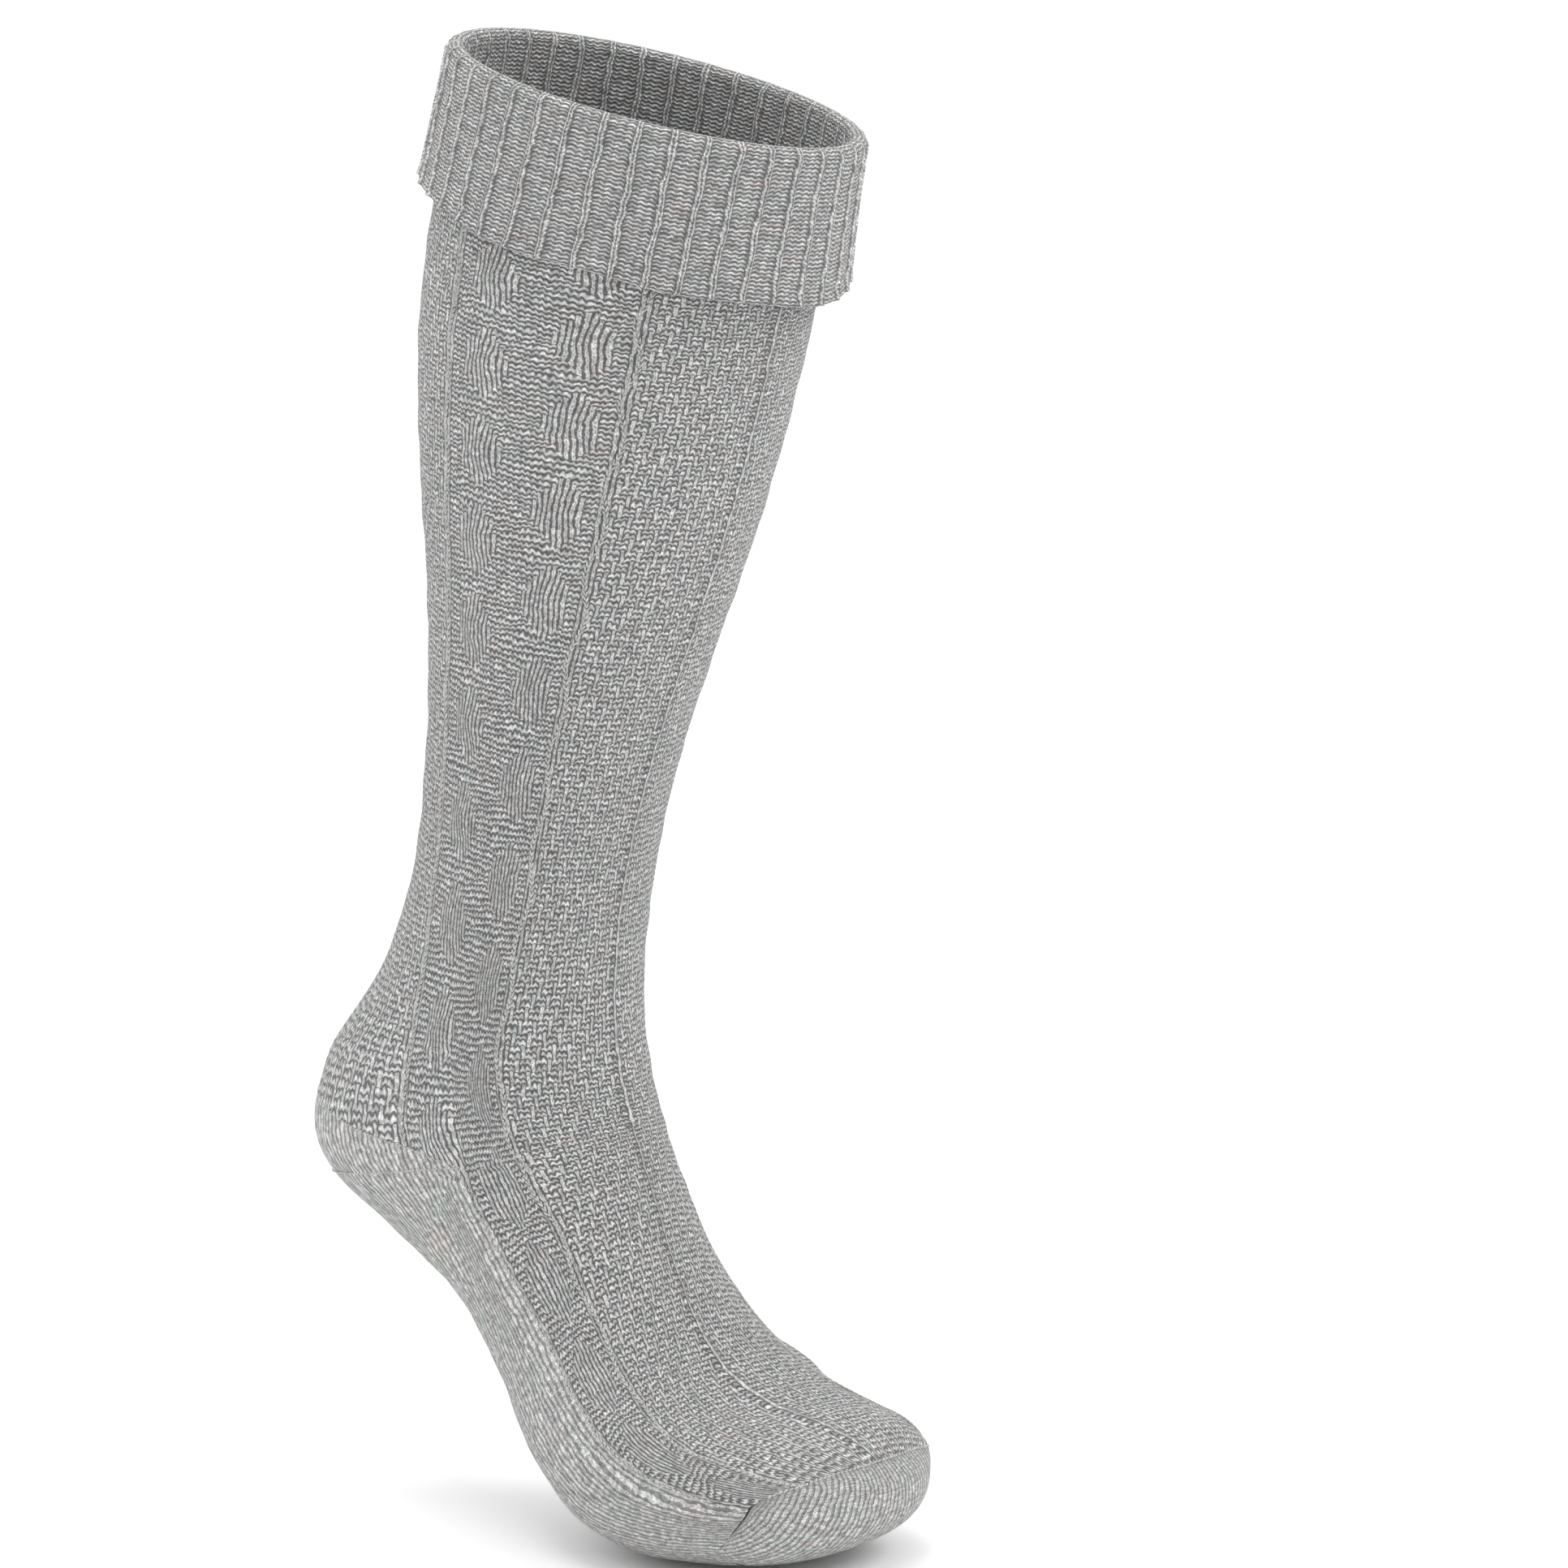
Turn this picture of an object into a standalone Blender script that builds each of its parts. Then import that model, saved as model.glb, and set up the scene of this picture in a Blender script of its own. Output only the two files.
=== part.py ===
"""Knee sock with a turned-down ribbed cuff, one of a pair, keeping the form it has when worn.

The frame: +Z up, toes toward -Y, origin at the middle of the rim. Every size is in metres.
"""
from typing import NamedTuple

import bpy
import numpy as np

LEG_LENGTH = 0.359
FOOT_LENGTH = 0.205
CALF_RADIUS = 0.066
FOOT_RADIUS = 0.058
WALL = 0.0022
GAP = 0.0003

CUFF_DEPTH = 0.053
CUFF_INSIDE = 0.048
HEM_RISE_BACK = 0.15
RIM_LEAN = 0.06
RIM_LEAN_LENGTH = 0.100
FLAP_WALL = 0.0026
FLAP_STANDOFF = 0.0010
FLAP_FLARE_BACK = 0.0018
FLAP_FLARE_FRONT = 0.0050
RIB_COUNT = 38
RIB_RELIEF = 0.0009

PANEL_EDGE = 50.0
SIDE_EDGE = 107.5
LOZENGE_START = 0.0608
LOZENGE_PITCH = 0.0275
LOZENGE_STRETCH = 0.00062
LOZENGE_FRONT = 66.0
LOZENGE_BACK = 94.0
LOZENGE_HALF_WIDTH = 8.5
LOZENGE_SINK = 0.0009
BORDER_RELIEF = 0.0005
BORDER_HALF_WIDTH = 3.0

HEEL_TOP = 0.347
HEEL_CORNER = 0.3685
HEEL_BOTTOM = 0.398
HEEL_CURVE = 0.8
HEEL_TIP_HEIGHT = 0.0012
HEEL_HALF_ANGLE = 90.0

TOE_SEAM_TOP = 0.558
TOE_SEAM_SIDE = 0.530
TOE_SEAM_WRAP = 120.0
DOME_LENGTH = 0.036
DOME_CLOSE = 0.975

STEPS = 320


class Section(NamedTuple):
    """One section of the sock: where it sits, which way it faces and its shares of a radius."""
    at: float
    turn: float
    front: float
    back: float
    side: float
    square: float


LEG_SECTIONS = (
    Section(0.000, -14.5, 1.000, 1.030, 1.000, 2.0),
    Section(0.134, -14, 0.985, 1.023, 0.985, 2.0),
    Section(0.259, -10, 0.947, 1.000, 0.955, 2.0),
    Section(0.384, -9.5, 0.848, 0.902, 0.879, 2.0),
    Section(0.515, -11, 0.697, 0.758, 0.773, 2.0),
    Section(0.657, -10, 0.564, 0.659, 0.682, 2.0),
    Section(0.794, -7, 0.512, 0.705, 0.644, 2.0),
    Section(0.889, -3, 0.533, 0.955, 0.636, 2.0),
    Section(0.950, 2, 0.576, 1.273, 0.636, 2.1),
    Section(1.000, 11, 0.606, 1.394, 0.636, 2.2),
)
FOOT_SECTIONS = (
    Section(0.093, 22, 0.707, 1.110, 0.724, 2.2),
    Section(0.210, 31, 0.681, 0.735, 0.741, 2.2),
    Section(0.351, 39, 0.586, 0.662, 0.793, 2.2),
    Section(0.493, 50, 0.466, 0.710, 0.922, 2.4),
    Section(0.620, 67, 0.379, 0.664, 1.008, 2.8),
    Section(0.741, 82, 0.336, 0.543, 0.995, 2.8),
    Section(0.854, 88, 0.310, 0.466, 0.925, 2.6),
    Section(1.000, 90, 0.267, 0.450, 0.836, 2.6),
)


def spline(at, knots, values):
    """Values of a smooth curve through the knots."""
    knots = np.asarray(knots, float)
    values = np.asarray(values, float)
    span = np.diff(knots)
    slope = np.diff(values) / span
    tangent = np.concatenate([slope[:1], np.zeros(len(knots) - 2), slope[-1:]])
    tangent[1:-1] = (span[:-1] * slope[1:] + span[1:] * slope[:-1]) / (span[:-1] + span[1:])
    i = np.clip(np.searchsorted(knots, at) - 1, 0, len(knots) - 2)
    t = (at - knots[i]) / span[i]
    rise = values[i] + (3 * t**2 - 2 * t**3) * (values[i + 1] - values[i])
    ease = (t**3 - 2 * t**2 + t) * tangent[i] + (t**3 - t**2) * tangent[i + 1]
    return rise + ease * span[i]


class Form:
    """The sock's smooth outer surface, by station along its middle and angle from the front."""

    def __init__(self):
        rows = [(s.at * LEG_LENGTH, s.turn, s.front * CALF_RADIUS, s.back * CALF_RADIUS,
                 s.side * CALF_RADIUS, s.square) for s in LEG_SECTIONS]
        rows += [(LEG_LENGTH + s.at * FOOT_LENGTH, s.turn, s.front * FOOT_RADIUS,
                  s.back * FOOT_RADIUS, s.side * FOOT_RADIUS, s.square) for s in FOOT_SECTIONS]
        rows = np.array(rows)
        self.knots = rows[:, 0]
        self.rows = rows
        self.stations = np.linspace(-0.01, LEG_LENGTH + FOOT_LENGTH, STEPS)
        turn = np.radians(spline(self.stations, self.knots, rows[:, 1]))
        step = np.diff(self.stations)
        way_y = -np.sin(turn)
        way_z = -np.cos(turn)
        self.y = np.concatenate([[0], np.cumsum((way_y[1:] + way_y[:-1]) / 2 * step)])
        self.z = np.concatenate([[0], np.cumsum((way_z[1:] + way_z[:-1]) / 2 * step)])
        self.y -= np.interp(0, self.stations, self.y)
        self.z -= np.interp(0, self.stations, self.z)

    def point(self, station, angle):
        """Surface point at a station (m) and an angle (degrees, 0 in front, + toward +X)."""
        station = np.asarray(station, float)
        angle = np.radians(np.asarray(angle, float))
        values = [spline(station, self.knots, self.rows[:, k]) for k in range(1, 6)]
        turn, front, back, side, square = values
        turn = np.radians(turn)
        end = LEG_LENGTH + FOOT_LENGTH
        dome = np.clip((station - end + DOME_LENGTH) / DOME_LENGTH, 0, 0.999)
        round_off = np.sqrt(1 - dome**2)
        cos, sin = np.cos(angle), np.sin(angle)
        power = 2.0 / square
        reach = np.where(cos >= 0, front, back) * round_off
        depth = reach * np.sign(cos) * np.abs(cos) ** power
        across = side * round_off * np.sign(sin) * np.abs(sin) ** power
        y = np.interp(station, self.stations, self.y) - depth * np.cos(turn)
        z = np.interp(station, self.stations, self.z) + depth * np.sin(turn)
        lean = RIM_LEAN * np.clip(1 - station / RIM_LEAN_LENGTH, 0, 1.1) ** 1.5
        z = z - lean * across
        return np.stack([across + 0 * y, y, z], -1)

    def normal(self, station, angle):
        """Outward unit normal of the smooth surface."""
        small, degree = 0.0004, 0.6
        along = self.point(station + small, angle) - self.point(station - small, angle)
        round_ = self.point(station, angle + degree) - self.point(station, angle - degree)
        n = np.cross(along, round_)
        return n / np.linalg.norm(n, axis=-1, keepdims=True)


FORM = Form()


def offset_points(station, angle, offset):
    """Points at a distance outward of the smooth surface."""
    base = FORM.point(station, angle)
    return base + FORM.normal(station, angle) * np.asarray(offset)[..., None]


def add_object(name, collection, verts, faces, shade):
    """Make one named mesh with its own material."""
    mesh = bpy.data.meshes.new(name)
    mesh.from_pydata([tuple(v) for v in verts], [], faces)
    mesh.validate()
    mesh.update()
    for polygon in mesh.polygons:
        polygon.use_smooth = True
    material = bpy.data.materials.new(name + "_wool")
    material.use_nodes = True
    shader = material.node_tree.nodes["Principled BSDF"]
    shader.inputs["Base Color"].default_value = (shade, shade, shade * 0.99, 1.0)
    shader.inputs["Roughness"].default_value = 0.95
    mesh.materials.append(material)
    obj = bpy.data.objects.new(name, mesh)
    collection.objects.link(obj)
    return obj


def swept_ring(profiles):
    """Closed body of a closed profile carried round a ring; profiles is (column, point, xyz)."""
    columns, points = profiles.shape[:2]
    faces = []
    for i in range(columns):
        j = (i + 1) % columns
        for k in range(points):
            m = (k + 1) % points
            faces.append((i * points + k, i * points + m, j * points + m, j * points + k))
    return profiles.reshape(-1, 3), faces


def lozenge_count(station):
    """Lozenges from the first one's middle to a station: each is a little longer than the last."""
    run = np.sqrt(LOZENGE_PITCH**2 + 4 * LOZENGE_STRETCH * (station - LOZENGE_START))
    return (run - LOZENGE_PITCH) / (2 * LOZENGE_STRETCH)


def ridge(side, middle, half_width):
    """Bell-shaped share of a line on the sock, 1 on its middle."""
    return np.exp(-((side - middle) / half_width) ** 2)


def relief(station, angle):
    """Low relief of the leg and instep: sunk lozenges in two columns and raised borders."""
    side = np.abs(angle)
    front_column = ridge(side, LOZENGE_FRONT, LOZENGE_HALF_WIDTH)
    back_column = ridge(side, LOZENGE_BACK, LOZENGE_HALF_WIDTH)
    phase = np.cos(2 * np.pi * lozenge_count(station))
    sink = front_column * np.clip(phase, 0, 1) + back_column * np.clip(-phase, 0, 1)
    border = ridge(side, PANEL_EDGE, BORDER_HALF_WIDTH) + ridge(side, SIDE_EDGE, BORDER_HALF_WIDTH)
    return border * BORDER_RELIEF - sink * LOZENGE_SINK


def heel_edge(angle, middle):
    """Station of the heel's edge at an angle: its corner at the sides, `middle` behind."""
    share = np.clip((np.abs(angle) - HEEL_HALF_ANGLE) / (180 - HEEL_HALF_ANGLE), 0, 1)
    behind = np.abs(angle) >= HEEL_HALF_ANGLE
    half = np.sign(middle - HEEL_CORNER) * HEEL_TIP_HEIGHT / 2
    start = HEEL_CORNER + np.where(behind, half, 0)
    return start + (middle - start) * np.sin(np.pi / 2 * share) ** HEEL_CURVE * behind


def toe_seam(angle):
    """Station of the toe's seam: furthest on above the toes, then back along both sides."""
    share = np.clip(np.abs(angle) / TOE_SEAM_WRAP, 0, 1)
    return TOE_SEAM_TOP - (TOE_SEAM_TOP - TOE_SEAM_SIDE) * share**2


def column_angles():
    """Angles of the grid's columns, set on the crest, borders, lozenges and heel corners."""
    inset = np.degrees(GAP / CALF_RADIUS) * 1.2
    half = [9, 18, 28, 39, PANEL_EDGE, 59, 68, 79, HEEL_HALF_ANGLE - inset, HEEL_HALF_ANGLE,
            97, SIDE_EDGE, 117, 127, 137, 147, 158, 169]
    return np.array([0] + half + [180] + [-a for a in reversed(half)], float)


def tube(first, last, rows, relief_share, crowd=1.0, close=False):
    """A walled tube between two edges given per column; `close` ends it in a domed tip.

    Its rows crowd toward the far edge where `crowd` is over 1.
    """
    angles = column_angles()
    t = 1 - (1 - np.linspace(0, 1, rows)[:, None]) ** crowd
    stations = first[None, :] + (last - first)[None, :] * t
    angle = np.broadcast_to(angles, stations.shape)
    lift = relief(stations, angle) * relief_share(stations)
    outer = offset_points(stations, angle, lift)
    inner = offset_points(stations, angle, lift - WALL)
    count = len(angles)
    if not close:
        loop = np.concatenate([outer, inner[::-1]], 0)
        return swept_ring(loop.transpose(1, 0, 2))
    verts = np.concatenate([outer.reshape(-1, 3), inner.reshape(-1, 3)])
    below = rows * count
    faces = []
    for i in range(rows - 1):
        for j in range(count):
            k = (j + 1) % count
            a, b, c, d = i * count + j, (i + 1) * count + j, (i + 1) * count + k, i * count + k
            faces.append((a, b, c, d))
            faces.append((below + d, below + c, below + b, below + a))
    for j in range(count):
        k = (j + 1) % count
        faces.append((j, k, below + k, below + j))
    tip = outer[-1].mean(0)
    normal = tip - FORM.point(LEG_LENGTH + FOOT_LENGTH - DOME_LENGTH, 0.0)
    forward = np.array([0.0, -1.0, 0.0]) if normal[1] < 0 else np.array([0.0, 1.0, 0.0])
    tips = np.array([tip + forward * 0.0012, inner[-1].mean(0) + forward * 0.0004])
    verts = np.concatenate([verts, tips])
    far = (rows - 1) * count
    for j in range(count):
        k = (j + 1) % count
        faces.append((far + j, 2 * below, far + k))
        faces.append((below + far + k, 2 * below + 1, below + far + j))
    return verts, faces


def build_cuff(collection):
    """Ribbed cuff: an inner wall, the fold at the rim and the flap turned down outside."""
    angles = np.arange(RIB_COUNT * 3) * 360.0 / (RIB_COUNT * 3)
    crest = np.where(np.arange(len(angles)) % 3 == 0, 1.0, 0.0)
    forward = (1 + np.cos(np.radians(angles - 50))) / 2
    wave = 0.0010 * np.sin(np.radians(3 * angles + 40)) + 0.0006 * np.sin(np.radians(7 * angles))
    flare = FLAP_FLARE_BACK + (FLAP_FLARE_FRONT - FLAP_FLARE_BACK) * forward
    behind = (1 - np.cos(np.radians(angles))) / 2
    hem = CUFF_DEPTH * (1 - HEM_RISE_BACK * behind) + wave
    profile = []
    for share in (1.0, 0.5, 0.12):
        profile.append((CUFF_INSIDE * share, -WALL + 0 * crest))
    fold_in = -WALL * 0.55
    fold_out = FLAP_STANDOFF + FLAP_WALL * 0.6
    top = FLAP_STANDOFF + FLAP_WALL
    profile.append((0.0009, fold_in + 0 * crest))
    profile.append((0.0, (fold_in + fold_out) / 2 + 0 * crest))
    profile.append((0.0008, fold_out + RIB_RELIEF * crest * 0.4))
    for share in (0.09, 0.4, 0.72, 0.94):
        lift = flare * share**1.5
        profile.append((hem * share, top + lift + RIB_RELIEF * crest))
    profile.append((hem, top + flare - FLAP_WALL * 0.4 + RIB_RELIEF * crest * 0.5))
    for share in (0.96, 0.5):
        profile.append((hem * share, FLAP_STANDOFF + flare * share**1.5))
    profile.append((0.0032 + 0 * hem, FLAP_STANDOFF + 0 * hem))
    profile.append((0.0028 + 0 * hem, 0.0003 + 0 * hem))
    profile.append((CUFF_INSIDE * 0.5 + 0 * hem, 0 * hem))
    profile.append((CUFF_INSIDE + 0 * hem, 0 * hem))
    rings = []
    for station, offset in profile:
        rings.append(offset_points(station + 0 * angles, angles, offset + 0 * angles))
    verts, faces = swept_ring(np.stack(rings, 1))
    return add_object("cuff", collection, verts, faces, 0.36)


def build_leg(collection):
    """Leg from the cuff's inner wall down to the heel's top line and the ankle's bend."""
    angles = column_angles()
    first = np.full(len(angles), CUFF_INSIDE + GAP)
    last = heel_edge(angles, HEEL_TOP) - GAP / 2
    verts, faces = tube(first, last, 23, lambda s: np.clip((s - CUFF_INSIDE) / 0.02, 0, 1))
    return add_object("leg", collection, verts, faces, 0.35)


def build_foot(collection):
    """Foot from the ankle's bend and the heel's lower line to the toe's seam."""
    angles = column_angles()
    first = heel_edge(angles, HEEL_BOTTOM) + GAP / 2
    last = toe_seam(angles) - GAP / 2
    fade = HEEL_BOTTOM - HEEL_TOP
    verts, faces = tube(first, last, 18, lambda s: np.clip((HEEL_BOTTOM - s) / fade, 0, 1), 1.4)
    return add_object("foot", collection, verts, faces, 0.35)


def build_toe(collection):
    """Toe cap beyond its seam, closed in front."""
    first = toe_seam(column_angles()) + GAP / 2
    reach = LEG_LENGTH + FOOT_LENGTH - DOME_LENGTH * (1 - DOME_CLOSE)
    last = np.full(len(first), reach)
    verts, faces = tube(first, last, 7, lambda s: 0 * s, 1.7, close=True)
    return add_object("toe", collection, verts, faces, 0.34)


def build_heel(collection):
    """Heel pocket: a wedge on the back half between the leg, the sole and its two corners."""
    columns = column_angles()
    behind = columns[np.abs(columns) > HEEL_HALF_ANGLE]
    behind = np.sort(np.where(behind < 0, behind + 360, behind))
    inset = np.degrees(GAP / CALF_RADIUS) * 1.2
    ends = [HEEL_HALF_ANGLE + inset * 0.2, 360 - HEEL_HALF_ANGLE - inset * 0.2]
    angles = np.concatenate([ends[:1], behind, ends[1:]])
    turned = np.where(angles > 180, angles - 360, angles)
    upper = heel_edge(turned, HEEL_TOP) + GAP / 2
    lower = heel_edge(turned, HEEL_BOTTOM) - GAP / 2
    rows = 9
    t = np.linspace(0, 1, rows)[:, None]
    stations = upper[None, :] + (lower - upper)[None, :] * t
    angle = np.broadcast_to(turned, stations.shape)
    outer = offset_points(stations, angle, 0 * stations)
    inner = offset_points(stations, angle, 0 * stations - WALL)
    count = len(angles)
    below = rows * count
    verts = np.concatenate([outer.reshape(-1, 3), inner.reshape(-1, 3)])
    faces = []
    for i in range(rows - 1):
        for j in range(count - 1):
            a, b = i * count + j, (i + 1) * count + j
            faces.append((a, b, b + 1, a + 1))
            faces.append((below + a + 1, below + b + 1, below + b, below + a))
    rim = list(range(count))
    rim += [i * count + count - 1 for i in range(1, rows)]
    rim += [(rows - 1) * count + j for j in range(count - 2, -1, -1)]
    rim += [i * count for i in range(rows - 2, 0, -1)]
    for n, a in enumerate(rim):
        b = rim[(n + 1) % len(rim)]
        faces.append((a, b, below + b, below + a))
    return add_object("heel", collection, verts, faces, 0.33)


def clear_scene():
    """Remove whatever the file opens with."""
    for obj in list(bpy.data.objects):
        bpy.data.objects.remove(obj, do_unlink=True)


def orient_outward(obj):
    """Turn the faces outward when the signed volume is negative."""
    mesh = obj.data
    volume = 0.0
    for polygon in mesh.polygons:
        corners = [np.array(mesh.vertices[v].co) for v in polygon.vertices]
        for k in range(1, len(corners) - 1):
            volume += np.dot(corners[0], np.cross(corners[k], corners[k + 1])) / 6
    if volume < 0:
        mesh.flip_normals()


def main():
    """Build the sock's five knitted pieces."""
    clear_scene()
    collection = bpy.data.collections.new("knee_sock")
    bpy.context.scene.collection.children.link(collection)
    for build in (build_cuff, build_leg, build_heel, build_foot, build_toe):
        orient_outward(build(collection))


main()
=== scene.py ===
"""Knee sock with a turned-down ribbed cuff: knitted skins, seams, lining, floor, light and camera."""
import logging
import math
from dataclasses import dataclass, field
from enum import Enum
from typing import Callable, NamedTuple

import bmesh
import bpy
import numpy as np
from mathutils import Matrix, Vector

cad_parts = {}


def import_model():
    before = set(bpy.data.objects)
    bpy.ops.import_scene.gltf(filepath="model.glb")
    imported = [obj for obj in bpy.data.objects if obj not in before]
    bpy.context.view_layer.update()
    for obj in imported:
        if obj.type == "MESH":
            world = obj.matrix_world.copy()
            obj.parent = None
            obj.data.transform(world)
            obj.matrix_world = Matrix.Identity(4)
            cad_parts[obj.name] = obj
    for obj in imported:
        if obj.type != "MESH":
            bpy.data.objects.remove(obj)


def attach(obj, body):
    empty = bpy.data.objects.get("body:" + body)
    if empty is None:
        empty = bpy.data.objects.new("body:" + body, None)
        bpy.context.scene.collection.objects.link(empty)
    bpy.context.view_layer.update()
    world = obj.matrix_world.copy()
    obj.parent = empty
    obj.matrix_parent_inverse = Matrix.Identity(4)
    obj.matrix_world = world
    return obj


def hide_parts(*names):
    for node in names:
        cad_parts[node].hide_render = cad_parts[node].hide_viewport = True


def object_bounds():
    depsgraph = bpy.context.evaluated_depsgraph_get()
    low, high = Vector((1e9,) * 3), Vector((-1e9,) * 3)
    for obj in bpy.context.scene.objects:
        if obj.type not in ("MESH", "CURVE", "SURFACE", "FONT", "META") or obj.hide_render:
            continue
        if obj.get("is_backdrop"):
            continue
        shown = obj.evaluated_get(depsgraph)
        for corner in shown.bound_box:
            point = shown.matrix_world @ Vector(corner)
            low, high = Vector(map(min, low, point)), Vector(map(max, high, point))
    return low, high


LOG = logging.getLogger("knee_sock")

LEG_LENGTH = 0.359
FOOT_LENGTH = 0.205
CALF_RADIUS = 0.066
FOOT_RADIUS = 0.058
WALL = 0.0022
CUFF_DEPTH = 0.053
CUFF_INSIDE = 0.048
HEM_RISE_BACK = 0.15
RIM_DROP = 0.0026
HEM_CURL = 0.0007
RIM_LEAN = 0.06
RIM_LEAN_LENGTH = 0.100
PANEL_EDGE = 50.0
SIDE_EDGE = 107.5
LOZENGE_START = 0.0608
LOZENGE_PITCH = 0.0275
LOZENGE_STRETCH = 0.00062
LOZENGE_COURSES = 16
HEEL_TOP = 0.347
HEEL_CORNER = 0.3685
HEEL_BOTTOM = 0.398
HEEL_CURVE = 0.8
HEEL_HALF_ANGLE = 90.0
GORE_LINE = 0.364
TOE_SEAM_TOP = 0.558
TOE_SEAM_SIDE = 0.530
TOE_SEAM_WRAP = 120.0
DOME_LENGTH = 0.036
FLOOR_GAP = 0.0003
NEAR_COLUMN = 67
FAR_COLUMN = 94
NEAR_SHARE = 0.28
FAR_SHARE = 0.76
# Painted shade on the panels' edge wales, in the valleys beside the borders, and on the sunk lozenges'
# smooth stitches.
EDGE_SHADE = 0.15
LOZENGE_SHADE = 0.04
STITCH_WOBBLE = 0.00022
TIP_REACH = 0.06


class Section(NamedTuple):
    """One section of the sock: where it sits, which way it faces and its shares of a radius."""

    at: float
    turn: float
    front: float
    back: float
    side: float
    square: float


LEG_SECTIONS = (
    Section(0.000, -14.5, 1.000, 1.030, 1.000, 2.0),
    Section(0.134, -14, 0.985, 1.023, 0.985, 2.0),
    Section(0.259, -10, 0.947, 1.000, 0.955, 2.0),
    Section(0.384, -9.5, 0.848, 0.902, 0.879, 2.0),
    Section(0.515, -11, 0.697, 0.758, 0.773, 2.0),
    Section(0.657, -10, 0.564, 0.659, 0.682, 2.0),
    Section(0.794, -7, 0.512, 0.705, 0.644, 2.0),
    Section(0.889, -3, 0.533, 0.955, 0.636, 2.0),
    Section(0.950, 2, 0.576, 1.273, 0.636, 2.1),
    Section(1.000, 11, 0.606, 1.394, 0.636, 2.2),
)
FOOT_SECTIONS = (
    Section(0.093, 22, 0.707, 1.110, 0.724, 2.2),
    Section(0.210, 31, 0.681, 0.735, 0.741, 2.2),
    Section(0.351, 39, 0.586, 0.662, 0.793, 2.2),
    Section(0.493, 50, 0.466, 0.710, 0.922, 2.4),
    Section(0.620, 67, 0.379, 0.664, 1.008, 2.8),
    Section(0.741, 82, 0.336, 0.543, 0.995, 2.8),
    Section(0.854, 88, 0.310, 0.466, 0.925, 2.6),
    Section(1.000, 90, 0.267, 0.450, 0.836, 2.6),
)


class Swing(NamedTuple):
    """How far wear swings a line between panels round one place: positive away from the front."""

    at: float
    reach: float
    degrees: float


TOP_SWING = Swing(0.050, 0.100, -5.5)
ANKLE_SWING = Swing(0.345, 0.050, 14.5)
ARCH_SWING = Swing(0.480, 0.035, -10.0)
TOES_SWING = Swing(0.570, 0.050, 12.0)
FRONT_SWINGS = (TOP_SWING, ANKLE_SWING, ARCH_SWING, TOES_SWING)
SOLE_SWINGS = (Swing(0.340, 0.035, 4.0), Swing(0.460, 0.055, -15.0))
SIDE_SWINGS = (Swing(0.362, 0.045, -4.5),)

# Charts: "|" shows the smooth side of a stitch and "-" its bumpy side, top course first.
MOSS_CHART = (
    "|--",
    "|--",
    "--|",
    "--|",
    "-|-",
    "-|-",
)
RIB_CHART = ("|---",)
PLAIN_CHART = ("|",)
LOZENGE_WIDTHS = (9, 9, 8, 8, 6, 4, 2, 0, 0, 0, 2, 4, 6, 8, 8, 9)


class Knit(Enum):
    """Stitch pattern of a knitted skin."""

    MOSS = "moss"
    LOZENGE = "lozenge"
    RIB = "rib"
    PLAIN = "plain"


def spline(at: np.ndarray, knots: np.ndarray, values: np.ndarray) -> np.ndarray:
    """Values of a smooth curve through the knots.

    Args:
        at: Places asked for.
        knots: Places of the given values.
        values: Values at the knots.

    Returns:
        One value for each place.
    """
    span = np.diff(knots)
    slope = np.diff(values) / span
    tangent = np.concatenate([slope[:1], np.zeros(len(knots) - 2), slope[-1:]])
    tangent[1:-1] = (span[:-1] * slope[1:] + span[1:] * slope[:-1]) / (span[:-1] + span[1:])
    i = np.clip(np.searchsorted(knots, at) - 1, 0, len(knots) - 2)
    t = (at - knots[i]) / span[i]
    rise = values[i] + (3 * t**2 - 2 * t**3) * (values[i + 1] - values[i])
    ease = (t**3 - 2 * t**2 + t) * tangent[i] + (t**3 - t**2) * tangent[i + 1]
    return rise + ease * span[i]


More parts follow.
